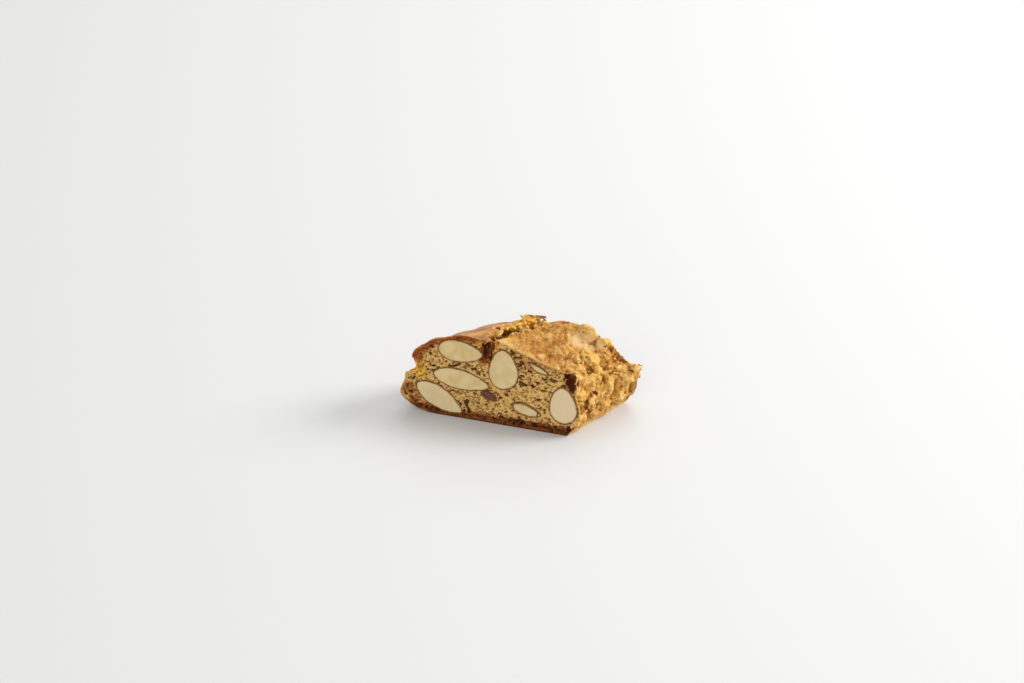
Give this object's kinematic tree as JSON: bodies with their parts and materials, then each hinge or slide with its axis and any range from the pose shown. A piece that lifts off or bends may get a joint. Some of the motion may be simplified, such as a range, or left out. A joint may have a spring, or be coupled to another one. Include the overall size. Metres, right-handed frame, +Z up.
{
  "type": "almond biscotti",
  "caption": "Slice of twice-baked almond biscuit cut on the bias from a low domed log, with cut almonds showing in both faces and a flat base to rest on.",
  "frame": {"origin": "middle of the bounding box in X and Y, on the resting base in Z", "axes": "+X along the cut faces towards the torn end, +Y from the front cut to the back cut, +Z up"},
  "size_m": [0.0868, 0.0292, 0.0338],
  "materials": {
    "baked_dough": "dry baked dough: golden-brown rugged crust, paler porous crumb on the cut faces",
    "almond": "cream almond kernel, smooth and slightly waxy where cut",
    "almond_skin": "thin brown almond skin"
  },
  "bodies": {
    "root": {"biscuit": "baked_dough", "almond_front_1": "almond", "almond_front_2": "almond", "almond_front_3": "almond", "almond_front_4": "almond", "almond_front_5": "almond", "almond_front_6": "almond", "almond_front_7": "almond", "almond_front_8": "almond_skin", "almond_back_1": "almond", "almond_back_2": "almond", "almond_back_3": "almond", "almond_back_4": "almond", "almond_back_5": "almond", "almond_back_6": "almond"}
  },
  "joints": []
}
